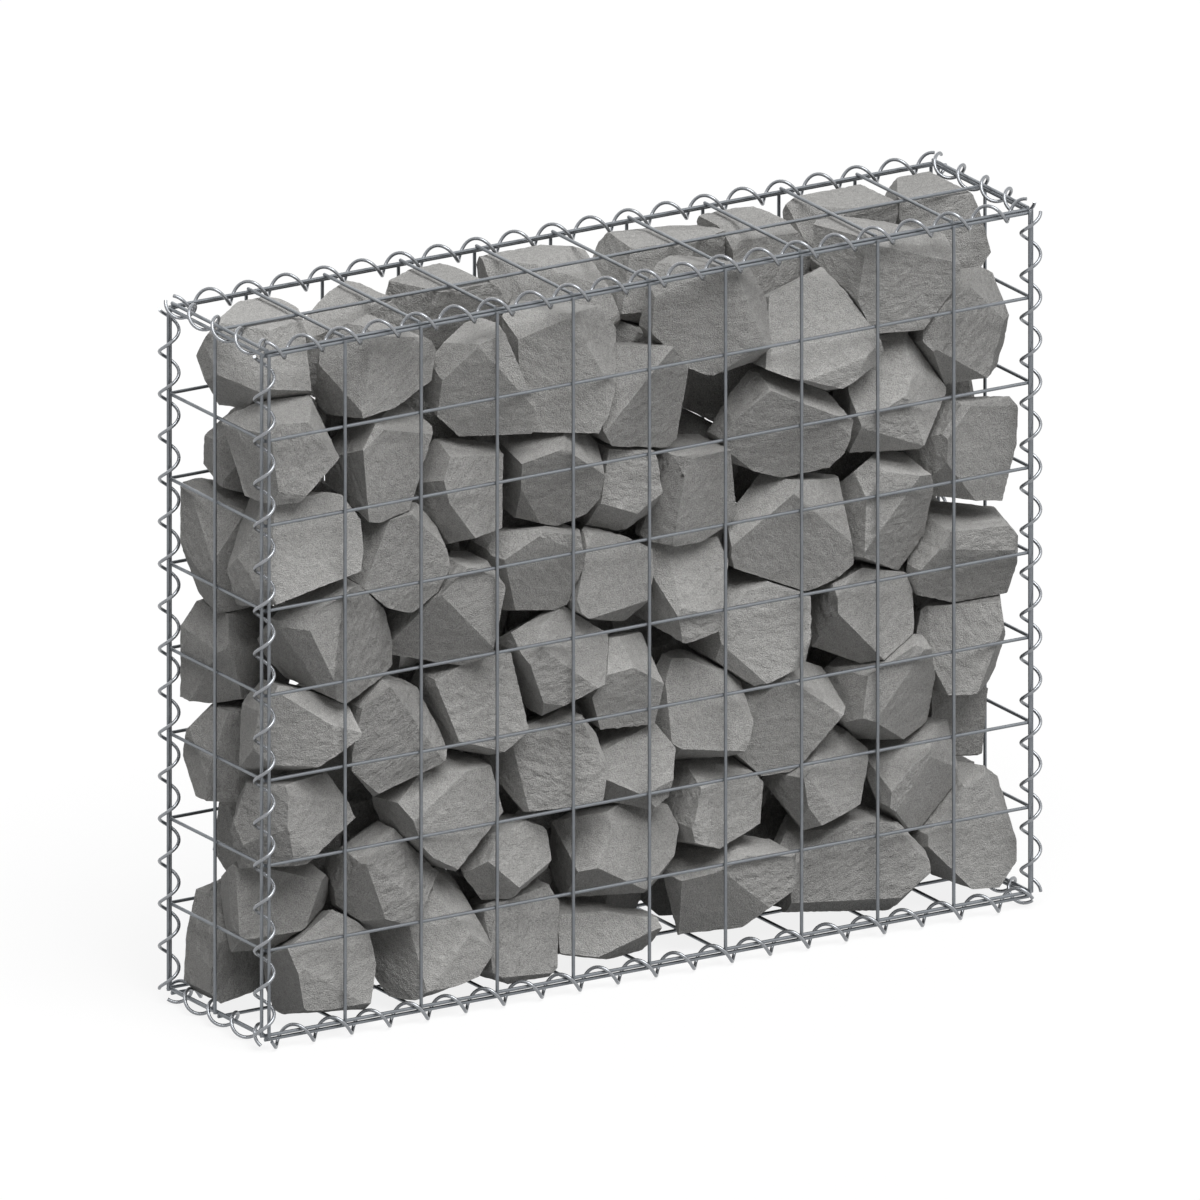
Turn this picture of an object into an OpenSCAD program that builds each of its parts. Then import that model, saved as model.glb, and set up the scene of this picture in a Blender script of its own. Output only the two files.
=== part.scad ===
// Gabion wall: a welded wire basket, laced with spirals and filled with broken quarry stone.
// Millimetres. X runs along the wall, the front faces -Y, Z is up and the wall stands on z = 0.

/* [Basket] */
// length of the wall, edge wire to edge wire
wall_length = 1000; // [600:50:1400]
// depth of the wall
wall_depth = 200; // [160:10:300]
// height of the wall
wall_height = 800; // [500:50:1000]
// mesh cell aimed at; whole cells are fitted to each side of the wall
cell = 100; // [80:5:120]
// panel wire diameter
wire_d = 4; // [3:0.5:5]
// how far two crossing wires are welded into each other
weld_sink = 1; // [0.5:0.1:1.5]
// how far a wire runs past the last wire that crosses it
wire_tip = 0.8; // [0.4:0.1:1]

/* [Lacing spirals] */
// spiral wire diameter
spiral_wire_d = 4; // [3:0.5:4.5]
// spiral diameter, wire centre to wire centre
spiral_mean_d = 22; // [20:0.5:24]
// spiral turns in one mesh cell
turns_per_cell = 2; // [1:1:3]

/* [Stone fill] */
// joint between stones that lie against each other
stone_joint = 0.3; // [0.2:0.1:0.8]
// how much of its place a stone keeps before its neighbours trim it
stone_swell = 1; // [0.9:0.02:1.2]
// how far the cleavage faces lean from a plain block
stone_lean = 0.45; // [0.1:0.05:0.6]

/* [Hidden] */
half_l = wall_length / 2;
half_w = wall_depth / 2;
function cells_in(length) = max(1, round(length / cell));
wire_layer = wire_d - weld_sink;
// panel wires are eight-sided, with flats where the neighbours touch them
panel_wire_sides = 8;
flat_turn = 180 / panel_wire_sides;
panel_wire_corner_d = wire_d / cos(flat_turn);
// clear gap between the wires of two panels that meet at an edge
wire_gap = 1;
rim = wire_d / 2 + wire_gap;
outer = rim + wire_layer;
// clearance where a piece lies against another
seat = 0.3;
spiral_r = spiral_mean_d / 2;
steps_per_turn = 9;
wire_sides = 5;
// corners as far out as keeps the area of the round wire
ring_r = spiral_wire_d / 2 * sqrt(2 * PI / wire_sides / sin(360 / wire_sides));
// distance from the axis of a spiral to the wire that it hangs on
bear = spiral_r * cos(180 / steps_per_turn) - ring_r - seat - panel_wire_corner_d / 2;

// a spiral that laces two wires hangs on the first of them
function laced(first, second) = first + bear * (second - first) / norm(second - first);
lid_long = laced([half_w + rim, 0], [half_w, rim]);
lid_cross = laced([half_l + rim, 0], [half_l, outer]);
floor_long = laced([half_w + rim, 0], [half_w, -outer]);
floor_cross = laced([half_l + rim, 0], [half_l, -rim]);
corner = laced([half_l, half_w + outer], [half_l + outer, half_w]);
base = spiral_r + ring_r - floor_long[1];
top = base + wall_height;

// stones of the front, course by course: x, y, z of the middle, then length, depth and height
front = [
    [[-395, -48, 55, 128, 100, 125], [-263, -48, 68, 124, 100, 139], [-148, -48, 50, 100, 100, 105],
     [-35, -40, 28, 115, 105, 60], [134, -42, 57, 158, 112, 112], [281, -45, 58, 172, 105, 122],
     [441, -48, 74, 125, 100, 149]],
    [[-435, -10, 128, 140, 110, 130], [-318, -48, 142, 130, 100, 122], [-155, -48, 138, 121, 100, 90],
     [-13, -48, 123, 158, 100, 120], [117, -48, 155, 121, 100, 105], [256, -48, 162, 132, 100, 110],
     [380, -45, 145, 115, 100, 110]],
    [[-435, -42, 228, 135, 110, 110], [-244, -48, 212, 165, 105, 130], [-107, -48, 238, 110, 100, 130],
     [4, -48, 220, 110, 100, 90], [93, -48, 270, 105, 100, 125], [205, -48, 245, 134, 100, 143],
     [344, -48, 255, 138, 100, 120], [455, 5, 195, 85, 110, 105]],
    [[-434, -45, 337, 130, 105, 112], [-310, -48, 308, 120, 100, 130], [-194, -48, 329, 118, 100, 135],
     [-92, -48, 366, 119, 100, 125], [-10, -48, 320, 95, 100, 120], [164, -48, 360, 132, 100, 120],
     [304, -48, 350, 120, 100, 119], [436, -48, 290, 130, 100, 125]],
    [[-385, -45, 430, 150, 110, 140], [-240, -48, 438, 130, 100, 125], [-125, -45, 472, 110, 95, 115],
     [-33, -48, 447, 108, 95, 120], [76, -48, 420, 105, 100, 132], [212, -48, 465, 158, 100, 136],
     [340, -48, 465, 132, 100, 140], [434, -48, 395, 125, 100, 115]],
    [[-436, -45, 555, 130, 105, 130], [-300, -48, 520, 130, 100, 120], [-215, -48, 575, 110, 100, 130],
     [-95, -48, 580, 137, 100, 115], [-4, -45, 550, 95, 95, 113], [88, -48, 528, 125, 100, 130],
     [195, -48, 590, 155, 100, 122], [438, -48, 515, 130, 100, 128]],
    [[-440, -42, 668, 125, 115, 115], [-316, -48, 632, 120, 100, 125], [-200, -48, 705, 118, 100, 140],
     [-84, -45, 708, 138, 105, 160], [14, -48, 655, 128, 100, 140], [244, -45, 690, 160, 105, 125],
     [352, -48, 600, 130, 100, 130], [440, -48, 655, 125, 100, 130]],
    [[-325, -42, 742, 135, 115, 115], [110, -45, 735, 165, 105, 120], [338, -42, 738, 150, 115, 130]]];

// stones of the back, course by course
back = [
    [[-450, 50, 55, 120, 106, 124], [-335, 48, 60, 135, 111, 129], [-225, 50, 55, 125, 106, 124],
     [-110, 48, 62, 135, 111, 132], [10, 46, 48, 140, 114, 109], [130, 50, 60, 130, 106, 134],
     [245, 50, 58, 130, 106, 126], [355, 48, 64, 125, 111, 136], [455, 50, 55, 110, 106, 124]],
    [[-385, 52, 172, 130, 102, 129], [-275, 48, 170, 130, 111, 124], [-165, 50, 168, 125, 106, 129],
     [-50, 50, 165, 135, 106, 129], [65, 48, 172, 128, 111, 132], [185, 50, 175, 135, 106, 129],
     [300, 50, 172, 125, 106, 132], [410, 48, 175, 125, 111, 134]],
    [[-450, 50, 285, 115, 106, 134], [-335, 50, 286, 138, 106, 142], [-220, 48, 286, 132, 111, 148],
     [-105, 50, 285, 130, 106, 134], [10, 50, 282, 130, 106, 126], [125, 48, 290, 132, 111, 134],
     [240, 50, 288, 128, 106, 129], [350, 50, 292, 125, 106, 134], [455, 48, 285, 110, 111, 129]],
    [[-445, 50, 405, 125, 106, 138], [-305, 50, 398, 155, 106, 138], [-170, 50, 400, 132, 106, 129],
     [-50, 48, 398, 135, 111, 134], [70, 50, 402, 132, 106, 132], [185, 50, 405, 128, 106, 129],
     [295, 48, 408, 125, 111, 132], [405, 50, 402, 130, 106, 134]],
    [[-450, 50, 525, 118, 112, 154], [-345, 50, 512, 128, 106, 132], [-230, 48, 515, 130, 111, 134],
     [-110, 50, 512, 135, 106, 129], [10, 50, 518, 132, 106, 134], [125, 50, 528, 135, 106, 150],
     [240, 48, 520, 130, 111, 129], [350, 50, 525, 125, 106, 136], [455, 50, 520, 110, 106, 132]],
    [[-410, 52, 635, 135, 106, 126], [-285, 50, 632, 128, 106, 132],
     [-170, 48, 630, 130, 111, 129], [-50, 50, 635, 135, 106, 132], [70, 50, 645, 130, 106, 145],
     [185, 48, 632, 135, 111, 146], [300, 50, 638, 132, 106, 129], [415, 50, 645, 130, 106, 134]],
    [[-435, 25, 752, 140, 146, 126], [-310, 50, 745, 130, 106, 119], [-180, 50, 750, 140, 106, 122],
     [-40, 50, 746, 165, 110, 132], [110, 50, 745, 165, 106, 130], [235, 50, 752, 125, 106, 119],
     [345, 52, 755, 125, 102, 112], [455, 40, 745, 115, 121, 132]]];

// a stone keeps its share of the wall when the wall is resized from the size it was laid out for
laid_out = [1000, 200, 800];
stretch = [wall_length / laid_out[0], wall_depth / laid_out[1], wall_height / laid_out[2]];
function middle(s) = [s[0] * stretch[0], s[1] * stretch[1], base + s[2] * stretch[2]];
function half(s) = [s[3] * stretch[0], s[4] * stretch[1], s[5] * stretch[2]] / 2;
function support(s, n) = let (h = half(s)) norm([h[0] * n[0], h[1] * n[1], h[2] * n[2]]);
function unit(v) = v / norm(v);
stones = [for (course = front) each course, for (course = back) each course];

// the room left by the wires, a box with its edges broken to clear the spirals
room_x = half_l + rim - wire_d / 2 - seat;
room_y = half_w + rim - wire_d / 2 - seat;
room_low = base - rim + wire_d / 2 + seat;
room_high = top + rim - wire_d / 2 - seat;
edge_break = spiral_r;
// share of each axis in a direction halfway between two of them
diag = sqrt(0.5);
walls = [for (s = [-1, 1]) each [[[s, 0, 0], room_x], [[0, s, 0], room_y]],
         [[0, 0, 1], room_high], [[0, 0, -1], -room_low],
         for (s = [-1, 1], t = [-1, 1]) [[s * diag, t * diag, 0], (room_x + room_y) * diag - edge_break],
         for (s = [-1, 1]) each [
             [[s * diag, 0, diag], (room_x + room_high) * diag - edge_break],
             [[s * diag, 0, -diag], (room_x - room_low) * diag - edge_break],
             [[0, s * diag, diag], (room_y + room_high) * diag - edge_break],
             [[0, s * diag, -diag], (room_y - room_low) * diag - edge_break]]];

// a stone splits along two wide faces, four side faces and eight corners, each leaned by chance;
// the shares say how far out a split lies, and some corners are split off deep
bed_faces = [[0, -1, 0], [0, 1, 0]];
side_faces = [[1, 0, 0], [-1, 0, 0], [0, 0, 1], [0, 0, -1]];
corners = [for (a = [-1, 1], b = [-1, 1], c = [-1, 1]) [a, b, c] / sqrt(3)];
splits = concat(bed_faces, side_faces, corners);
bed_share = [0.66, 0.82];
side_share = [0.78, 0.96];
deep_share = [0.80, 0.98];
tip_share = [1.15, 1.35];
deep_chance = 0.4;
blank_share = 1.08;
reach_seed = 500;
function leaned(n, lean) = unit(n + stone_lean * lean);
function between(range, t) = range[0] + (range[1] - range[0]) * t;
function corner_share(t) = t < deep_chance
    ? between(deep_share, t / deep_chance)
    : between(tip_share, (t - deep_chance) / (1 - deep_chance));
function split_share(k, t) = k < len(bed_faces) ? between(bed_share, t)
    : k < len(bed_faces) + len(side_faces) ? between(side_share, t)
    : corner_share(t);
function cleavage(s, seed) = let (
        lean = rands(-1, 1, 3 * len(splits), seed),
        reach = rands(0, 1, len(splits), seed + reach_seed))
    [for (k = [0:len(splits) - 1]) let (
        n = leaned(splits[k], [lean[3 * k], lean[3 * k + 1], lean[3 * k + 2]]))
        [n, split_share(k, reach[k]) * stone_swell * support(s, n)]];

// flat contact with a neighbour, shared out by the size of the two stones
function contact(s, t) = let (
        way = middle(t) - middle(s),
        n = unit(way),
        own = support(s, n),
        other = support(t, n))
    [n, norm(way) * own / (own + other) - stone_joint / 2];
// a neighbour trims a stone when it is nearer than this share of their two half sizes
trim_reach = 1.4;
function near(s, t) = let (way = middle(t) - middle(s))
    norm(way) > 1 && norm(way) < trim_reach * (support(s, unit(way)) + support(t, unit(way)));
function trims(s) = concat(
    [for (t = stones) if (near(s, t)) contact(s, t)],
    [for (w = walls) let (room = w[1] - w[0] * middle(s))
        if (room < trim_reach * support(s, w[0])) [w[0], room]]);

// all that lies within reach along a direction, as a cube larger than any stone
module half_space(n, reach) {
    size = max(laid_out);
    rotate([0, acos(n[2]), atan2(n[1], n[0])])
        translate([-size / 2, -size / 2, reach - size])
            cube(size);
}

module stone(s, seed) {
    cuts = concat(cleavage(s, seed), trims(s));
    translate(middle(s))
        intersection_for (k = [0:len(cuts)]) {
            if (k == 0)
                cube(2 * blank_share * half(s), center = true);
            else
                half_space(cuts[k - 1][0], cuts[k - 1][1]);
        }
}

module course(row, seed) {
    for (k = [0:len(row) - 1])
        stone(row[k], seed + k);
}

// courses are counted from 1, at the bottom, and each has seeds of its own
front_seed = 100;
back_seed = 200;
seed_step = 10;
module front_course(number) course(front[number - 1], front_seed + seed_step * number);
module back_course(number) course(back[number - 1], back_seed + seed_step * number);

// wires along X below, wires along Y on top of them, welded where they cross
module mesh_panel(length, width) {
    cells_x = cells_in(length);
    cells_y = cells_in(width);
    for (k = [0:cells_y])
        translate([0, (k / cells_y - 0.5) * width, 0])
            rotate([0, 90, 0])
                wire(length + 2 * wire_tip);
    for (k = [0:cells_x])
        translate([(k / cells_x - 0.5) * length, 0, wire_layer])
            rotate([90, 0, 0])
                wire(width + 2 * wire_tip);
}

module wire(length) {
    rotate([0, 0, flat_turn])
        cylinder(d = panel_wire_corner_d, h = length, center = true, $fn = panel_wire_sides);
}

// an upright panel on the side that faces -Y, its upright wires outside
module wall_panel(length, reach) {
    translate([0, -reach - rim, base + wall_height / 2])
        rotate([90, 0, 0])
            mesh_panel(length, wall_height);
}

module flat_panel(height) {
    translate([0, 0, height])
        mesh_panel(wall_length, wall_depth);
}

// right-handed coil up the Z axis, swept as rings of corners along the helix
module spiral(length, start) {
    turns = cells_in(length) * turns_per_cell;
    steps = turns * steps_per_turn;
    pitch = length / turns;
    rings = [for (k = [0:steps]) let (t = turns * (k / steps - 0.5)) coil_ring(t, start + 360 * t, pitch)];
    n = wire_sides;
    skin = [for (k = [0:steps - 1], j = [0:n - 1]) let (
        low = k * n + j,
        low_next = k * n + (j + 1) % n)
        each [[low, low_next, low_next + n], [low, low_next + n, low + n]]];
    ends = [[for (j = [0:n - 1]) n - 1 - j], [for (j = [0:n - 1]) steps * n + j]];
    polyhedron([for (ring = rings) each ring], concat(skin, ends));
}

// one ring of corners across the wire, square to the helix
function coil_ring(turns, angle, pitch) = let (
        out = [cos(angle), sin(angle), 0],
        climb = atan2(pitch, 2 * PI * spiral_r),
        rise = [sin(angle) * sin(climb), -cos(angle) * sin(climb), cos(climb)])
    [for (j = [0:wire_sides - 1]) let (a = 360 * j / wire_sides)
        spiral_r * out + [0, 0, pitch * turns] + ring_r * (cos(a) * out + sin(a) * rise)];

// the start angles are those at the middle of the edge, as at every mesh wire
module spiral_along(side, height, start) {
    translate([0, side, height])
        rotate([0, 90, 0])
            spiral(wall_length, start);
}

module spiral_across(side, height, start) {
    translate([side, 0, height])
        rotate([-90, 0, 0])
            spiral(wall_depth, start);
}

module spiral_upright(x, y, start) {
    translate([x, y, base + wall_height / 2])
        spiral(wall_height, start);
}

module front_panel() color("slategray") wall_panel(wall_length, half_w);
module back_panel() color("slategray") rotate([0, 0, 180]) wall_panel(wall_length, half_w);
module left_panel() color("slategray") rotate([0, 0, -90]) wall_panel(wall_depth, half_l);
module right_panel() color("slategray") rotate([0, 0, 90]) wall_panel(wall_depth, half_l);
module floor_panel() color("slategray") flat_panel(base - outer);
module lid_panel() color("slategray") flat_panel(top + rim);

module spiral_lid_front() color("silver") spiral_along(-lid_long[0], top + lid_long[1], 180);
module spiral_lid_back() color("silver") spiral_along(lid_long[0], top + lid_long[1], 180);
module spiral_lid_left() color("silver") spiral_across(-lid_cross[0], top + lid_cross[1], 215);
module spiral_lid_right() color("silver") spiral_across(lid_cross[0], top + lid_cross[1], 325);
module spiral_floor_front() color("silver") spiral_along(-floor_long[0], base + floor_long[1], 270);
module spiral_floor_back() color("silver") spiral_along(floor_long[0], base + floor_long[1], 90);
module spiral_floor_left() color("silver") spiral_across(-floor_cross[0], base + floor_cross[1], 135);
module spiral_floor_right() color("silver") spiral_across(floor_cross[0], base + floor_cross[1], 45);
module spiral_front_left() color("silver") spiral_upright(-corner[0], -corner[1], 150);
module spiral_front_right() color("silver") spiral_upright(corner[0], -corner[1], 330);
module spiral_back_left() color("silver") spiral_upright(-corner[0], corner[1], 150);
module spiral_back_right() color("silver") spiral_upright(corner[0], corner[1], 330);

module front_stones_1() color("gray") front_course(1);
module front_stones_2() color("gray") front_course(2);
module front_stones_3() color("gray") front_course(3);
module front_stones_4() color("gray") front_course(4);
module front_stones_5() color("gray") front_course(5);
module front_stones_6() color("gray") front_course(6);
module front_stones_7() color("gray") front_course(7);
module front_stones_8() color("gray") front_course(8);
module back_stones_1() color("dimgray") back_course(1);
module back_stones_2() color("dimgray") back_course(2);
module back_stones_3() color("dimgray") back_course(3);
module back_stones_4() color("dimgray") back_course(4);
module back_stones_5() color("dimgray") back_course(5);
module back_stones_6() color("dimgray") back_course(6);
module back_stones_7() color("dimgray") back_course(7);

front_panel();
back_panel();
left_panel();
right_panel();
floor_panel();
lid_panel();
spiral_lid_front();
spiral_lid_back();
spiral_lid_left();
spiral_lid_right();
spiral_floor_front();
spiral_floor_back();
spiral_floor_left();
spiral_floor_right();
spiral_front_left();
spiral_front_right();
spiral_back_left();
spiral_back_right();
front_stones_1();
front_stones_2();
front_stones_3();
front_stones_4();
front_stones_5();
front_stones_6();
front_stones_7();
front_stones_8();
back_stones_1();
back_stones_2();
back_stones_3();
back_stones_4();
back_stones_5();
back_stones_6();
back_stones_7();
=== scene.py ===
"""Looks of the gabion wall: round welded wire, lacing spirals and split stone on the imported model."""

import math

import bmesh
import bpy
from bpy.props import FloatProperty, FloatVectorProperty, IntProperty, PointerProperty
from mathutils import Matrix, Vector, noise


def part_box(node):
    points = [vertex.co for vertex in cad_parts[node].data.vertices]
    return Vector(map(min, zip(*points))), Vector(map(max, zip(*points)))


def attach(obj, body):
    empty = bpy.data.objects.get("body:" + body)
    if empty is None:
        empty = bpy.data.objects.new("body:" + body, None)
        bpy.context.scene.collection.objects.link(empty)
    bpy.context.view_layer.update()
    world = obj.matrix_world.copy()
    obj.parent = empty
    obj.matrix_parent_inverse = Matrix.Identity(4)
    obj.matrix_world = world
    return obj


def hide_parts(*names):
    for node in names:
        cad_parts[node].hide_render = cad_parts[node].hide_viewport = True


bl_info = {
    "name": "Gabion wall",
    "version": (1, 0, 0),
    "blender": (4, 5, 0),
    "location": "3D View > Sidebar > Gabion",
    "description": "Dresses the packed gabion wall with round wire, lacing spirals and split stone",
    "category": "Object",
}

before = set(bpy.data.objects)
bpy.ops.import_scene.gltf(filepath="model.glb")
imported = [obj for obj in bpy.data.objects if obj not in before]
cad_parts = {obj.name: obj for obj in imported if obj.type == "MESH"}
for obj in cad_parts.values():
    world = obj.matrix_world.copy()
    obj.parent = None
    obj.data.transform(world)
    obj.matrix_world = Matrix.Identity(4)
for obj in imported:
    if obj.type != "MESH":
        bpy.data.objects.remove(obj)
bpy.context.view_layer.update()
BODY = "root"

QUARTER = math.pi / 2
FLAT = Matrix.Identity(4)
UPRIGHT = Matrix.Rotation(QUARTER, 4, "X")


def turned(angle):
    """An upright panel turned about Z, so that its outer wires face that way."""
    return Matrix.Rotation(angle, 4, "Z") @ UPRIGHT


# each panel with the turn that lays its flat pattern in place
PANELS = {
    "front_panel": turned(0),
    "back_panel": turned(math.pi),
    "left_panel": turned(-QUARTER),
    "right_panel": turned(QUARTER),
    "floor_panel": FLAT,
    "lid_panel": FLAT,
}

ALONG = Matrix.Rotation(QUARTER, 4, "Y")
ACROSS = Matrix.Rotation(-QUARTER, 4, "X")
UP = Matrix.Identity(4)

# each spiral with the turn that lays it along its edge and its angle at the middle, in degrees
SPIRALS = {
    "spiral_lid_front": (ALONG, 180),
    "spiral_lid_back": (ALONG, 180),
    "spiral_lid_left": (ACROSS, 215),
    "spiral_lid_right": (ACROSS, 325),
    "spiral_floor_front": (ALONG, 270),
    "spiral_floor_back": (ALONG, 90),
    "spiral_floor_left": (ACROSS, 135),
    "spiral_floor_right": (ACROSS, 45),
    "spiral_front_left": (UP, 150),
    "spiral_front_right": (UP, 330),
    "spiral_back_left": (UP, 150),
    "spiral_back_right": (UP, 330),
}

STONE_COURSES = sorted(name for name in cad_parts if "_stones_" in name)

# how often the faces of a weld bead are divided
BEAD_SUBDIVISIONS = 2

# points of a solid that lie closer than this are one point
MERGE_DISTANCE = 1e-5
# triangles of a solid that meet with less of a turn than this are one split face
SPLIT_FACE_TURN = math.radians(1)
# edges of the finer mesh that turn by less than this lie inside a split face
FLAT_TURN = math.radians(0.5)
# a ridge that turns by this much or more is marked in full
SHARP_TURN = math.radians(35)
# how often the shortest edges are looked for
WELD_PASSES = 3
# a point sinks by at most this share of its shortest edge, to keep faces from folding over
SINK_SHARE = 0.4

# how close together the swells, the split marks and the chips lie, per metre
SWELL_SCALE = 24.0
SPLIT_SCALE = 60.0
SPLIT_OCTAVES = 3
CHIP_SCALE = 90.0

# factors that scatter the tones of the stones and the roughness of the split faces
TONE_SCATTER = Vector((61.0, 37.0, 83.0))
ROUGH_PLACE_SCATTER = 911.0
ROUGH_TURN_SCATTER = 37.0

# mottling per metre: its coarse scale, its fine scale and the share of the fine one
ZINC_SPECKLE = (60.0, 420.0, 0.4)
STONE_SPECKLE = (150.0, 750.0, 0.75)
# how much detail the coarse and the fine noise have
COARSE_DETAIL = 4.0
FINE_DETAIL = 1.0
# the part of the mottling's noise that is stretched over the whole mask
SPECKLE_SPREAD = (0.32, 0.68)

# how dark the dull spots of the zinc are, and how much rougher
DULL_SHARE = 0.8
DULL_ROUGHNESS = 0.1

# levels of the stone, for a mask at 0 and at 1
TONE_LEVELS = (0.9, 1.06)
ROUGH_FACE_LEVELS = (1.03, 0.88)
STONE_ROUGHNESS = (0.96, 0.85)
# the weak gloss of the stone, and how far its ridges go towards the paler grey of the painted highlight
STONE_SPECULAR = 0.2
RIDGE_HIGHLIGHT_SHARE = 0.4

# ripples on the stone, with the axis that they slant about, and the grain over them
RIPPLE_AXIS = (0.3, 1.0, 0.2)
RIPPLE_STRETCH = (0.68, 1.0, 1.15)
RIPPLE_SCALE = 90.0
RIPPLE_DETAIL = 2.5
RIPPLE_DEPTHS = (0.4, 0.9)
GRAIN_DEPTH = 0.11
RELIEF_DEPTH = 0.007

# each lamp with its azimuth, elevation and spread in degrees, and its strength
LAMPS = {
    "key_light": (-10.0, 62.0, 45.0, 3.0),
    "fill_light": (60.0, 20.0, 60.0, 0.35),
    "back_light": (170.0, 15.0, 60.0, 0.7),
}
# strength of the sky, as light and where it is seen
SKY_LIGHT = 0.2
SKY_SEEN = 1.0
# half the width of the floor, the share of its white that is glow, and how far the camera sees
FLOOR_HALF = 8.0
FLOOR_GLOW = 0.85
CAMERA_REACH = 50.0

# places of the colours among the sockets of a Mix node
MIX_FIRST = 6
MIX_SECOND = 7
MIX_RESULT = 2


class GabionWireSettings(bpy.types.PropertyGroup):
    """Sizes and colours of the panels and the spirals."""

    panel_wire: FloatProperty(
        name="Panel wire", description="Diameter of the mesh wire", default=0.004, unit="LENGTH"
    )
    mesh_cell: FloatProperty(
        name="Mesh cell", description="Distance between mesh wires", default=0.1, unit="LENGTH"
    )
    weld_bead: FloatProperty(
        name="Weld bead", description="Radius of the weld at a crossing", default=0.0023, unit="LENGTH"
    )
    wire_sides: IntProperty(name="Wire sides", description="Sides of every round wire", default=12)
    spiral_wire: FloatProperty(
        name="Spiral wire", description="Diameter of the spiral wire", default=0.004, unit="LENGTH"
    )
    spiral_radius: FloatProperty(
        name="Spiral radius", description="Middle radius of a spiral", default=0.011, unit="LENGTH"
    )
    spiral_pitch: FloatProperty(
        name="Spiral pitch", description="Rise of one spiral turn", default=0.05, unit="LENGTH"
    )
    turn_steps: IntProperty(name="Turn steps", description="Steps in one spiral turn", default=24)
    metallic: FloatProperty(
        name="Metallic", description="How metallic the zinc is", default=0.75, subtype="FACTOR"
    )
    panel_roughness: FloatProperty(
        name="Panel roughness", description="Roughness of the mesh wire", default=0.32, subtype="FACTOR"
    )
    spiral_roughness: FloatProperty(
        name="Spiral roughness", description="Roughness of the spirals", default=0.2, subtype="FACTOR"
    )
    panel_colour: FloatVectorProperty(
        name="Panel zinc", description="Dull zinc of the mesh wire", subtype="COLOR", size=4,
        default=(0.22, 0.235, 0.253, 1),
    )
    spiral_colour: FloatVectorProperty(
        name="Spiral zinc", description="Brighter zinc of the spirals", subtype="COLOR", size=4,
        default=(0.30, 0.312, 0.33, 1),
    )


class GabionStoneSettings(bpy.types.PropertyGroup):
    """Surface and colours of the stone fill."""

    longest_edge: FloatProperty(
        name="Longest edge", description="Longest mesh edge on a stone", default=0.0075, unit="LENGTH"
    )
    shortest_edge: FloatProperty(
        name="Shortest edge", description="Shorter mesh edges are closed up", default=0.0017, unit="LENGTH"
    )
    split_passes: IntProperty(
        name="Split passes", description="How often long edges are halved", default=5
    )
    swell_depth: FloatProperty(
        name="Swell depth", description="Depth of the slow swells on a face", default=0.0012, unit="LENGTH"
    )
    split_depth: FloatProperty(
        name="Split depth", description="Depth of the split marks on a face", default=0.0012, unit="LENGTH"
    )
    ridge_chips: FloatProperty(
        name="Ridge chips", description="How far chips bite into the ridges", default=0.0018, unit="LENGTH"
    )
    sharp_angle: FloatProperty(
        name="Sharp angle", description="Ridges that turn by more than this stay crisp",
        default=math.radians(8), subtype="ANGLE",
    )
    colour: FloatVectorProperty(
        name="Stone", description="Main grey of the stone", subtype="COLOR", size=4,
        default=(0.50, 0.494, 0.48, 1),
    )
    dark_colour: FloatVectorProperty(
        name="Dark grain", description="Darker grain of the stone", subtype="COLOR", size=4,
        default=(0.285, 0.281, 0.274, 1),
    )
    # paler grey painted along the ridges as a highlight
    ridge_highlight_colour: FloatVectorProperty(
        name="Ridge highlight", description="Paler grey painted along the ridges as a highlight", subtype="COLOR", size=4,
        default=(0.53, 0.524, 0.51, 1),
    )


class GabionStageSettings(bpy.types.PropertyGroup):
    """Camera and studio."""

    azimuth: FloatProperty(
        name="Azimuth", description="Turn of the camera round the wall", default=math.radians(-31.5),
        subtype="ANGLE",
    )
    elevation: FloatProperty(
        name="Elevation", description="Height of the camera above the horizon",
        default=math.radians(17.9), subtype="ANGLE",
    )
    view_width: FloatProperty(
        name="View width", description="Width that the camera takes in", default=1.3448, unit="LENGTH"
    )
    view_distance: FloatProperty(
        name="View distance", description="Distance of the camera", default=4.0, unit="LENGTH"
    )
    floor_colour: FloatVectorProperty(
        name="Floor", description="Pale studio floor", subtype="COLOR", size=4,
        default=(0.95, 0.95, 0.95, 1),
    )
    bounce_colour: FloatVectorProperty(
        name="Floor bounce", description="What the floor sends back as light", subtype="COLOR", size=4,
        default=(0.3, 0.3, 0.3, 1),
    )


def add_node(tree, kind, inputs=None, **settings):
    """A node with its settings, its input values and its incoming links."""
    made = tree.nodes.new(kind)
    for key, value in settings.items():
        setattr(made, key, value)
    for key, value in (inputs or {}).items():
        if isinstance(value, bpy.types.NodeSocket):
            tree.links.new(value, made.inputs[key])
        else:
            made.inputs[key].default_value = value
    return made


def new_geometry_tree(name, inputs):
    """An empty Geometry Nodes tree with named inputs; returns the tree and its input node."""
    tree = bpy.data.node_groups.new(name, "GeometryNodeTree")
    for label, kind in inputs.items():
        tree.interface.new_socket(label, in_out="INPUT", socket_type=kind)
    tree.interface.new_socket("Geometry", in_out="OUTPUT", socket_type="NodeSocketGeometry")
    return tree, tree.nodes.new("NodeGroupInput").outputs


def close_geometry_tree(tree, geometry, material):
    """Ends a tree: smooth faces, real instances and the material."""
    smooth = add_node(tree, "GeometryNodeSetShadeSmooth", {"Geometry": geometry})
    real = add_node(tree, "GeometryNodeRealizeInstances", {"Geometry": smooth.outputs[0]})
    dressed = add_node(tree, "GeometryNodeSetMaterial", {"Geometry": real.outputs[0], "Material": material})
    add_node(tree, "NodeGroupOutput", {"Geometry": dressed.outputs[0]})


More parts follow.
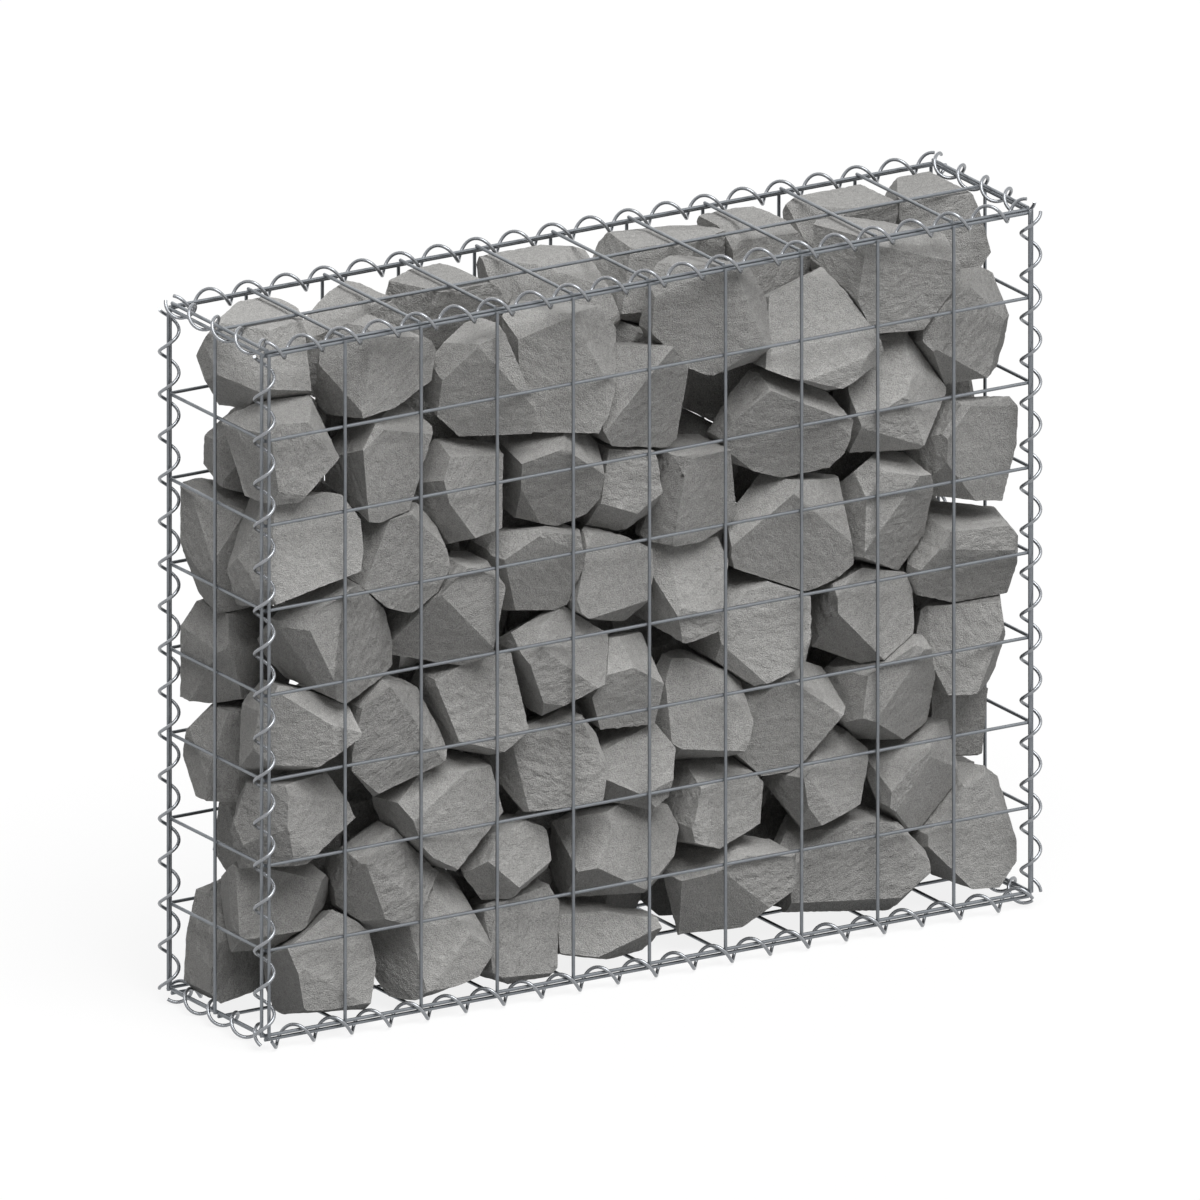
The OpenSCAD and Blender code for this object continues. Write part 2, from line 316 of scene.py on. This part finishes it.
def grown_mesh(tree, values, name):
    """The plain mesh that a tree makes with these input values."""
    seed = bpy.data.objects.new(name, bpy.data.meshes.new(name))
    bpy.context.scene.collection.objects.link(seed)
    modifier = seed.modifiers.new(tree.name, "NODES")
    modifier.node_group = tree
    for item in tree.interface.items_tree:
        if item.in_out == "INPUT":
            modifier[item.identifier] = values[item.name]
    depsgraph = bpy.context.evaluated_depsgraph_get()
    mesh = bpy.data.meshes.new_from_object(seed.evaluated_get(depsgraph))
    bpy.data.objects.remove(seed)
    if not mesh.polygons:
        raise RuntimeError(f"{tree.name} made no faces for {name}")
    return mesh


def place_piece(name, mesh, slot, *nodes):
    """Shows a mesh in place of CAD nodes, riding on their body."""
    mesh.name = name
    piece = bpy.data.objects.new(name, mesh)
    bpy.context.scene.collection.objects.link(piece)
    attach(piece, BODY)
    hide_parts(*nodes)


def offset_by(tree, x=0.0, y=0.0, z=0.0):
    """A vector put together from numbers or sockets."""
    return add_node(tree, "ShaderNodeCombineXYZ", {"X": x, "Y": y, "Z": z}).outputs[0]


def calculate(tree, operation, first, second):
    """One sum in a node tree."""
    return add_node(tree, "ShaderNodeMath", {0: first, 1: second}, operation=operation).outputs[0]


def between(tree, mask, levels):
    """A level between two, by a mask."""
    return add_node(
        tree, "ShaderNodeMapRange", {"Value": mask, "To Min": levels[0], "To Max": levels[1]}
    ).outputs[0]


def wire_row(tree, inputs, axis):
    """Wires along X or Y, repeated across the panel at the mesh spacing."""
    other = "Y" if axis == "X" else "X"
    end = calculate(tree, "MULTIPLY", inputs["Length " + axis], 0.5)
    start = calculate(tree, "MULTIPLY", inputs["Length " + axis], -0.5)
    path = add_node(
        tree, "GeometryNodeCurvePrimitiveLine",
        {"Start": offset_by(tree, **{axis.lower(): start}), "End": offset_by(tree, **{axis.lower(): end})},
    )
    profile = add_node(
        tree, "GeometryNodeCurvePrimitiveCircle",
        {"Resolution": inputs["Sides"], "Radius": inputs["Wire Radius"]},
    )
    wire = add_node(
        tree, "GeometryNodeCurveToMesh",
        {"Curve": path.outputs[0], "Profile Curve": profile.outputs[0], "Fill Caps": True},
    )
    half_span = calculate(tree, "MULTIPLY", inputs["Span " + other], -0.5)
    step = calculate(tree, "DIVIDE", inputs["Span " + other], inputs["Cells " + other])
    layer = calculate(tree, "MULTIPLY", inputs["Layer Gap"], -0.5 if axis == "X" else 0.5)
    places = add_node(
        tree, "GeometryNodeMeshLine",
        {
            "Count": calculate(tree, "ADD", inputs["Cells " + other], 1),
            "Start Location": offset_by(tree, **{other.lower(): half_span}, z=layer),
            "Offset": offset_by(tree, **{other.lower(): step}),
        },
    )
    row = add_node(
        tree, "GeometryNodeInstanceOnPoints", {"Points": places.outputs[0], "Instance": wire.outputs[0]}
    )
    return row.outputs[0]


def weld_beads(tree, inputs):
    """A small bead in every crossing of the two wire layers."""
    crossings = add_node(
        tree, "GeometryNodeMeshGrid",
        {
            "Size X": inputs["Span X"],
            "Size Y": inputs["Span Y"],
            "Vertices X": calculate(tree, "ADD", inputs["Cells X"], 1),
            "Vertices Y": calculate(tree, "ADD", inputs["Cells Y"], 1),
        },
    )
    bead = add_node(
        tree, "GeometryNodeMeshIcoSphere",
        {"Radius": inputs["Bead Radius"], "Subdivisions": BEAD_SUBDIVISIONS},
    )
    row = add_node(
        tree, "GeometryNodeInstanceOnPoints", {"Points": crossings.outputs[0], "Instance": bead.outputs[0]}
    )
    return row.outputs[0]


def welded_mesh_tree():
    """Two layers of straight wires that cross, with a weld in every crossing."""
    tree, inputs = new_geometry_tree(
        "Welded mesh",
        {
            "Length X": "NodeSocketFloat", "Length Y": "NodeSocketFloat",
            "Span X": "NodeSocketFloat", "Span Y": "NodeSocketFloat",
            "Cells X": "NodeSocketInt", "Cells Y": "NodeSocketInt",
            "Wire Radius": "NodeSocketFloat", "Layer Gap": "NodeSocketFloat",
            "Bead Radius": "NodeSocketFloat", "Sides": "NodeSocketInt",
            "Material": "NodeSocketMaterial",
        },
    )
    joined = tree.nodes.new("GeometryNodeJoinGeometry")
    for part in (wire_row(tree, inputs, "X"), wire_row(tree, inputs, "Y"), weld_beads(tree, inputs)):
        tree.links.new(part, joined.inputs[0])
    close_geometry_tree(tree, joined.outputs[0], inputs["Material"])
    return tree


def spiral_tree():
    """A round wire along a right-handed coil, centred on its middle."""
    tree, inputs = new_geometry_tree(
        "Lacing spiral",
        {
            "Turns": "NodeSocketFloat", "Pitch": "NodeSocketFloat", "Radius": "NodeSocketFloat",
            "Middle Angle": "NodeSocketFloat", "Wire Radius": "NodeSocketFloat",
            "Steps": "NodeSocketInt", "Sides": "NodeSocketInt", "Material": "NodeSocketMaterial",
        },
    )
    height = calculate(tree, "MULTIPLY", inputs["Turns"], inputs["Pitch"])
    coil = add_node(
        tree, "GeometryNodeCurveSpiral",
        {
            "Resolution": inputs["Steps"], "Rotations": inputs["Turns"], "Start Radius": inputs["Radius"],
            "End Radius": inputs["Radius"], "Height": height, "Reverse": True,
        },
    )
    half_way_back = calculate(tree, "MULTIPLY", inputs["Turns"], -math.pi)
    centred = add_node(
        tree, "GeometryNodeTransform",
        {
            "Geometry": coil.outputs[0],
            "Translation": offset_by(tree, z=calculate(tree, "MULTIPLY", height, -0.5)),
            "Rotation": offset_by(tree, z=calculate(tree, "ADD", half_way_back, inputs["Middle Angle"])),
        },
    )
    profile = add_node(
        tree, "GeometryNodeCurvePrimitiveCircle",
        {"Resolution": inputs["Sides"], "Radius": inputs["Wire Radius"]},
    )
    wire = add_node(
        tree, "GeometryNodeCurveToMesh",
        {"Curve": centred.outputs[0], "Profile Curve": profile.outputs[0], "Fill Caps": True},
    )
    close_geometry_tree(tree, wire.outputs[0], inputs["Material"])
    return tree


def speckle_group():
    """Fine and coarse mottling over a surface, as a mask from 0 to 1."""
    name = "Speckle"
    if name in bpy.data.node_groups:
        return bpy.data.node_groups[name]
    group = bpy.data.node_groups.new(name, "ShaderNodeTree")
    for label in ("Coarse Scale", "Fine Scale", "Fine Share"):
        group.interface.new_socket(label, in_out="INPUT", socket_type="NodeSocketFloat")
    group.interface.new_socket("Mask", in_out="OUTPUT", socket_type="NodeSocketFloat")
    inputs = group.nodes.new("NodeGroupInput").outputs
    place = group.nodes.new("ShaderNodeTexCoord").outputs["Object"]
    coarse = add_node(
        group, "ShaderNodeTexNoise",
        {"Vector": place, "Scale": inputs["Coarse Scale"], "Detail": COARSE_DETAIL},
    )
    fine = add_node(
        group, "ShaderNodeTexNoise",
        {"Vector": place, "Scale": inputs["Fine Scale"], "Detail": FINE_DETAIL},
    )
    blend = add_node(
        group, "ShaderNodeMix",
        {"Factor": inputs["Fine Share"], "A": coarse.outputs["Fac"], "B": fine.outputs["Fac"]},
    )
    low, high = SPECKLE_SPREAD
    stretched = add_node(
        group, "ShaderNodeMapRange", {"Value": blend.outputs[0], "From Min": low, "From Max": high}
    )
    add_node(group, "NodeGroupOutput", {"Mask": stretched.outputs[0]})
    return group


def speckle_mask(tree, coarse_scale, fine_scale, fine_share):
    """The mottling, placed in a material with values of its own."""
    values = {"Coarse Scale": coarse_scale, "Fine Scale": fine_scale, "Fine Share": fine_share}
    return add_node(tree, "ShaderNodeGroup", values, node_tree=speckle_group()).outputs["Mask"]


def new_material(name):
    """An empty material; returns it, its tree and its Principled shader."""
    material = bpy.data.materials.new(name)
    material.use_nodes = True
    tree = material.node_tree
    return material, tree, tree.nodes["Principled BSDF"]


def mixed_colour(tree, factor, first, second):
    """A colour between two, by a mask."""
    mix = add_node(tree, "ShaderNodeMix", {"Factor": factor}, data_type="RGBA")
    for socket, value in ((mix.inputs[MIX_FIRST], first), (mix.inputs[MIX_SECOND], second)):
        if isinstance(value, bpy.types.NodeSocket):
            tree.links.new(value, socket)
        else:
            socket.default_value = value
    return mix.outputs[MIX_RESULT]


def zinc_material(name, colour, roughness, metallic):
    """Galvanised wire: zinc with a soft mottle in its colour and gloss."""
    material, tree, shader = new_material(name)
    mask = speckle_mask(tree, *ZINC_SPECKLE)
    dull = tuple(DULL_SHARE * channel for channel in colour[:3]) + (1.0,)
    tree.links.new(mixed_colour(tree, mask, dull, tuple(colour)), shader.inputs["Base Color"])
    gloss = between(tree, mask, (roughness + DULL_ROUGHNESS, roughness))
    tree.links.new(gloss, shader.inputs["Roughness"])
    shader.inputs["Metallic"].default_value = metallic
    return material


def stone_mark(tree, name):
    """A mark that the stone meshes carry, as a value."""
    return add_node(tree, "ShaderNodeAttribute", attribute_name=name).outputs["Fac"]


def stone_material(settings):
    """Split stone: fine grain, ripples on the rougher faces, a painted highlight of paler grey along the
    ridges and a tone for each stone.
    """
    material, tree, shader = new_material("split_stone")
    rough_face = stone_mark(tree, "rough_face")
    tone = stone_mark(tree, "tone")
    mask = speckle_mask(tree, *STONE_SPECKLE)
    grain = mixed_colour(tree, mask, tuple(settings.dark_colour), tuple(settings.colour))
    # painted highlight: the ridges are painted towards a paler grey, broken up by the grain
    grained_highlight = calculate(tree, "MULTIPLY", stone_mark(tree, "ridge"), mask)
    ridge_highlight = calculate(tree, "MULTIPLY", grained_highlight, RIDGE_HIGHLIGHT_SHARE)
    faced = mixed_colour(tree, ridge_highlight, grain, tuple(settings.ridge_highlight_colour))
    shade = between(tree, rough_face, ROUGH_FACE_LEVELS)
    level = calculate(tree, "MULTIPLY", between(tree, tone, TONE_LEVELS), shade)
    toned = add_node(tree, "ShaderNodeVectorMath", {0: faced, "Scale": level}, operation="SCALE")
    tree.links.new(toned.outputs[0], shader.inputs["Base Color"])
    tree.links.new(between(tree, mask, STONE_ROUGHNESS), shader.inputs["Roughness"])
    shader.inputs["Specular IOR Level"].default_value = STONE_SPECULAR
    tree.links.new(stone_bump(tree, rough_face, tone, mask), shader.inputs["Normal"])
    return material


def stone_bump(tree, rough_face, tone, mask):
    """Fine grain everywhere, and ripples where a face broke rough, slanting another way on each stone."""
    place = tree.nodes.new("ShaderNodeTexCoord").outputs["Object"]
    slant = calculate(tree, "MULTIPLY", tone, math.pi)
    turned_place = add_node(
        tree, "ShaderNodeVectorRotate", {"Vector": place, "Axis": RIPPLE_AXIS, "Angle": slant}
    )
    drawn_out = add_node(
        tree, "ShaderNodeMapping", {"Vector": turned_place.outputs[0], "Scale": RIPPLE_STRETCH}
    )
    ripples = add_node(
        tree, "ShaderNodeTexNoise",
        {"Vector": drawn_out.outputs[0], "Scale": RIPPLE_SCALE, "Detail": RIPPLE_DETAIL},
    )
    depth = between(tree, rough_face, RIPPLE_DEPTHS)
    coarse = calculate(tree, "MULTIPLY", ripples.outputs["Fac"], depth)
    grain = calculate(tree, "MULTIPLY", mask, GRAIN_DEPTH)
    height = calculate(tree, "ADD", coarse, grain)
    bump = add_node(tree, "ShaderNodeBump", {"Height": height, "Strength": 1.0, "Distance": RELIEF_DEPTH})
    return bump.outputs[0]


def separate_stones(bm):
    """The points of each stone of a course, stone by stone."""
    seen = set()
    for start in bm.verts:
        if start in seen:
            continue
        seen.add(start)
        stone = [start]
        # the list grows while it is walked, until no point of the stone is new
        for vert in stone:
            for edge in vert.link_edges:
                other = edge.other_vert(vert)
                if other not in seen:
                    seen.add(other)
                    stone.append(other)
        yield stone


def mark_tones(bm):
    """Gives every stone of a course one tone of its own, from 0 to 1."""
    tone = bm.verts.layers.float.new("tone")
    for stone in separate_stones(bm):
        middle = sum((vert.co for vert in stone), Vector()) / len(stone)
        value = 0.5 + 0.5 * math.sin(TONE_SCATTER.dot(middle))
        for vert in stone:
            vert[tone] = value


def ridges_at(vert):
    """How many ridges meet in a point: 0 on a face, 2 on a ridge and 3 or more in a corner."""
    return sum(edge.calc_face_angle(math.pi) > FLAT_TURN for edge in vert.link_edges)


def close_short_edges(bm, shortest):
    """Welds the ends of the shortest edges; a corner stays rather than a ridge, and a ridge than a face."""
    welds = {}
    used = set()
    for edge in bm.edges:
        if edge.calc_length() < shortest and used.isdisjoint(edge.verts):
            moved, kept = sorted(edge.verts, key=ridges_at)
            welds[moved] = kept
            used.update(edge.verts)
    bmesh.ops.weld_verts(bm, targetmap=welds)
    # a weld can leave a face that hangs on one edge only
    flaps = [face for face in bm.faces if any(edge.is_boundary for edge in face.edges)]
    bmesh.ops.delete(bm, geom=flaps, context="FACES")


def refine_faces(bm, settings):
    """Halves the long edges a few times over, evens out the triangles and closes up the shortest edges."""
    for _ in range(settings.split_passes):
        long_edges = [edge for edge in bm.edges if edge.calc_length() > settings.longest_edge]
        bmesh.ops.subdivide_edges(bm, edges=long_edges, cuts=1, use_grid_fill=True, use_single_edge=True)
        bmesh.ops.triangulate(bm, faces=[face for face in bm.faces if len(face.verts) > 3])
        flat_edges = [edge for edge in bm.edges if edge.calc_face_angle(math.pi) < FLAT_TURN]
        bmesh.ops.beautify_fill(bm, faces=bm.faces, edges=flat_edges)
    for _ in range(WELD_PASSES):
        close_short_edges(bm, settings.shortest_edge)


def mark_rough_faces(bm):
    """Marks how rough each split face is, from 0 for a clean split to 1."""
    rough = bm.faces.layers.float.new("rough_face")
    for face in bm.faces:
        place = face.calc_center_median() * ROUGH_PLACE_SCATTER
        value = noise.cell(place + face.normal * ROUGH_TURN_SCATTER)
        face[rough] = value * value


def mark_ridges(bm, crisp_turn):
    """Keeps the ridges between split faces crisp and marks them, from 0 on a face to 1 on a sharp ridge."""
    ridge = bm.verts.layers.float.new("ridge")
    for edge in bm.edges:
        edge.smooth = edge.calc_face_angle(0.0) < crisp_turn
    for vert in bm.verts:
        turn = max(edge.calc_face_angle(0.0) for edge in vert.link_edges)
        vert[ridge] = min(1.0, turn / SHARP_TURN)


def weather_faces(bm, settings):
    """Sinks the faces by slow swells and split marks and chips the ridges; no point moves outwards."""
    ridge = bm.verts.layers.float["ridge"]
    bm.normal_update()
    sunk = {}
    for vert in bm.verts:
        swell = settings.swell_depth * (0.5 - 0.5 * noise.noise(vert.co * SWELL_SCALE))
        split = settings.split_depth * noise.turbulence(vert.co * SPLIT_SCALE, SPLIT_OCTAVES, True)
        chip = settings.ridge_chips * max(0.0, noise.noise(vert.co * CHIP_SCALE)) * vert[ridge]
        room = SINK_SHARE * min(edge.calc_length() for edge in vert.link_edges)
        sunk[vert] = vert.co - vert.normal * min(swell + split + chip, room)
    for vert, place in sunk.items():
        vert.co = place


def split_stone_mesh(node, settings, material):
    """A course of stones with chipped ridges and weathered faces, made from the CAD solids."""
    bm = bmesh.new()
    bm.from_mesh(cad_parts[node].data)
    bmesh.ops.remove_doubles(bm, verts=bm.verts, dist=MERGE_DISTANCE)
    bmesh.ops.dissolve_limit(bm, angle_limit=SPLIT_FACE_TURN, verts=bm.verts, edges=bm.edges)
    mark_rough_faces(bm)
    bmesh.ops.triangulate(bm, faces=bm.faces)
    mark_tones(bm)
    refine_faces(bm, settings)
    mark_ridges(bm, settings.sharp_angle)
    weather_faces(bm, settings)
    mesh = bpy.data.meshes.new(node)
    bm.to_mesh(mesh)
    bm.free()
    mesh.materials.append(material)
    mesh.shade_smooth()
    return mesh


class GABION_OT_panels(bpy.types.Operator):
    """Replaces the six panels by round wires, welded where they cross"""

    bl_idname = "gabion.panels"
    bl_label = "Welded panels"

    def execute(self, context):
        wires = context.scene.gabion_wires
        zinc = zinc_material("panel_zinc", wires.panel_colour, wires.panel_roughness, wires.metallic)
        tree = welded_mesh_tree()
        for node, turn in PANELS.items():
            low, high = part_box(node)
            size = turn.inverted() @ (high - low)
            length_x, length_y, thickness = (abs(side) for side in size)
            span_x = length_x - wires.panel_wire
            span_y = length_y - wires.panel_wire
            values = {
                "Length X": length_x, "Length Y": length_y, "Span X": span_x, "Span Y": span_y,
                "Cells X": round(span_x / wires.mesh_cell), "Cells Y": round(span_y / wires.mesh_cell),
                "Wire Radius": wires.panel_wire / 2, "Layer Gap": thickness - wires.panel_wire,
                "Bead Radius": wires.weld_bead, "Sides": wires.wire_sides, "Material": zinc,
            }
            mesh = grown_mesh(tree, values, node)
            mesh.transform(Matrix.Translation((low + high) / 2) @ turn)
            place_piece("welded_" + node, mesh, "mesh_wire", node)
        return {"FINISHED"}


class GABION_OT_spirals(bpy.types.Operator):
    """Replaces the twelve lacing spirals by coils of round wire"""

    bl_idname = "gabion.spirals"
    bl_label = "Lacing spirals"

    def execute(self, context):
        wires = context.scene.gabion_wires
        zinc = zinc_material("spiral_zinc", wires.spiral_colour, wires.spiral_roughness, wires.metallic)
        tree = spiral_tree()
        for node, (turn, angle) in SPIRALS.items():
            low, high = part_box(node)
            length = max(high - low) - wires.spiral_wire
            half_turns = round(2 * length / wires.spiral_pitch)
            values = {
                "Turns": half_turns / 2, "Pitch": wires.spiral_pitch, "Radius": wires.spiral_radius,
                "Middle Angle": math.radians(angle), "Wire Radius": wires.spiral_wire / 2,
                "Steps": wires.turn_steps, "Sides": wires.wire_sides, "Material": zinc,
            }
            mesh = grown_mesh(tree, values, node)
            mesh.transform(Matrix.Translation((low + high) / 2) @ turn)
            place_piece("round_" + node, mesh, "spiral_wire", node)
        return {"FINISHED"}


class GABION_OT_stones(bpy.types.Operator):
    """Replaces each course of stones by stones with chipped ridges, painted paler as a highlight, and split
    faces
    """

    bl_idname = "gabion.stones"
    bl_label = "Split stones"

    def execute(self, context):
        settings = context.scene.gabion_stones
        material = stone_material(settings)
        for node in STONE_COURSES:
            mesh = split_stone_mesh(node, settings, material)
            place_piece("split_" + node, mesh, "stone", node)
        return {"FINISHED"}


class GABION_OT_stage(bpy.types.Operator):
    """Sets the camera, the studio light and a pale floor"""

    bl_idname = "gabion.stage"
    bl_label = "Studio stage"

    def execute(self, context):
        stage = context.scene.gabion_stage
        context.scene.view_settings.view_transform = "Standard"
        aim = mesh_middle()
        add_camera(context.scene, stage, aim)
        for name, lamp in LAMPS.items():
            add_lamp(context.scene, name, *lamp)
        add_world(context.scene)
        add_floor(context.scene, stage)
        return {"FINISHED"}


def mesh_middle():
    """The middle of the mesh box, where the camera aims."""
    low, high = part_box("front_panel")
    return Vector((0.0, 0.0, (low.z + high.z) / 2))


def direction(azimuth, elevation):
    """The way from the wall to a place round it; azimuth 0 is in front."""
    level = math.cos(elevation)
    return Vector((math.sin(azimuth) * level, -math.cos(azimuth) * level, math.sin(elevation)))


def add_camera(scene, stage, aim):
    """A camera without perspective, as the photo shows the wall."""
    data = bpy.data.cameras.new("camera")
    data.type = "ORTHO"
    data.ortho_scale = stage.view_width
    data.clip_end = CAMERA_REACH
    camera = bpy.data.objects.new("camera", data)
    camera.location = aim + stage.view_distance * direction(stage.azimuth, stage.elevation)
    camera.rotation_euler = (QUARTER - stage.elevation, 0.0, stage.azimuth)
    scene.collection.objects.link(camera)
    scene.camera = camera


def add_lamp(scene, name, azimuth, elevation, spread, strength):
    """A broad, even lamp far away in the given direction."""
    data = bpy.data.lights.new(name, "SUN")
    data.angle = math.radians(spread)
    data.energy = strength
    lamp = bpy.data.objects.new(name, data)
    way = direction(math.radians(azimuth), math.radians(elevation))
    lamp.rotation_euler = way.to_track_quat("Z", "Y").to_euler()
    scene.collection.objects.link(lamp)


def seen_directly(tree):
    """1 for what the camera sees, also in a mirror or through glass, and 0 for what lights the object."""
    path = tree.nodes.new("ShaderNodeLightPath").outputs
    mirrored = calculate(tree, "MAXIMUM", path["Is Camera Ray"], path["Is Glossy Ray"])
    return calculate(tree, "MAXIMUM", mirrored, path["Is Transmission Ray"])


def add_world(scene):
    """White where it is seen, a soft grey sky as light."""
    world = bpy.data.worlds.new("studio")
    world.use_nodes = True
    scene.world = world
    tree = world.node_tree
    background = tree.nodes["Background"]
    background.inputs["Color"].default_value = (1.0, 1.0, 1.0, 1.0)
    level = between(tree, seen_directly(tree), (SKY_LIGHT, SKY_SEEN))
    tree.links.new(level, background.inputs["Strength"])


def add_floor(scene, stage):
    """A pale floor that keeps the shadow and is nearly white where it is seen."""
    mesh = bpy.data.meshes.new("studio_floor")
    signs = ((-1, -1), (1, -1), (1, 1), (-1, 1))
    corners = [(FLOOR_HALF * x, FLOOR_HALF * y, 0.0) for x, y in signs]
    mesh.from_pydata(corners, [], [(0, 1, 2, 3)])
    floor = bpy.data.objects.new("studio_floor", mesh)
    scene.collection.objects.link(floor)
    material = bpy.data.materials.new("studio_floor")
    material.use_nodes = True
    tree = material.node_tree
    tree.nodes.clear()
    seen = seen_directly(tree)
    colour = mixed_colour(tree, seen, tuple(stage.bounce_colour), tuple(stage.floor_colour))
    matt = add_node(tree, "ShaderNodeBsdfDiffuse", {"Color": colour})
    glow = add_node(tree, "ShaderNodeEmission", {"Strength": 1.0})
    share = calculate(tree, "MULTIPLY", seen, FLOOR_GLOW)
    both = add_node(tree, "ShaderNodeMixShader", {"Fac": share, 1: matt.outputs[0], 2: glow.outputs[0]})
    add_node(tree, "ShaderNodeOutputMaterial", {"Surface": both.outputs[0]})
    mesh.materials.append(material)


class GABION_PT_sidebar(bpy.types.Panel):
    """Lists the pieces of the gabion wall and the stage, with their settings"""

    bl_idname = "GABION_PT_sidebar"
    bl_label = "Gabion wall"
    bl_space_type = "VIEW_3D"
    bl_region_type = "UI"
    bl_category = "Gabion"

    def draw(self, context):
        for operator in OPERATORS:
            self.layout.operator(operator.bl_idname)
        for group, kind in SETTINGS.items():
            box = self.layout.box()
            for key in kind.__annotations__:
                box.prop(getattr(context.scene, group), key)


OPERATORS = (GABION_OT_panels, GABION_OT_spirals, GABION_OT_stones, GABION_OT_stage)
SETTINGS = {
    "gabion_wires": GabionWireSettings,
    "gabion_stones": GabionStoneSettings,
    "gabion_stage": GabionStageSettings,
}


def register():
    for settings in SETTINGS.values():
        bpy.utils.register_class(settings)
    for key, settings in SETTINGS.items():
        setattr(bpy.types.Scene, key, PointerProperty(type=settings))
    for operator in OPERATORS:
        bpy.utils.register_class(operator)
    bpy.utils.register_class(GABION_PT_sidebar)


def unregister():
    bpy.utils.unregister_class(GABION_PT_sidebar)
    for operator in reversed(OPERATORS):
        bpy.utils.unregister_class(operator)
    for key, settings in SETTINGS.items():
        delattr(bpy.types.Scene, key)
        bpy.utils.unregister_class(settings)


def main():
    register()
    bpy.ops.gabion.panels()
    bpy.ops.gabion.spirals()
    bpy.ops.gabion.stones()
    bpy.ops.gabion.stage()


if __name__ == "__main__":
    main()
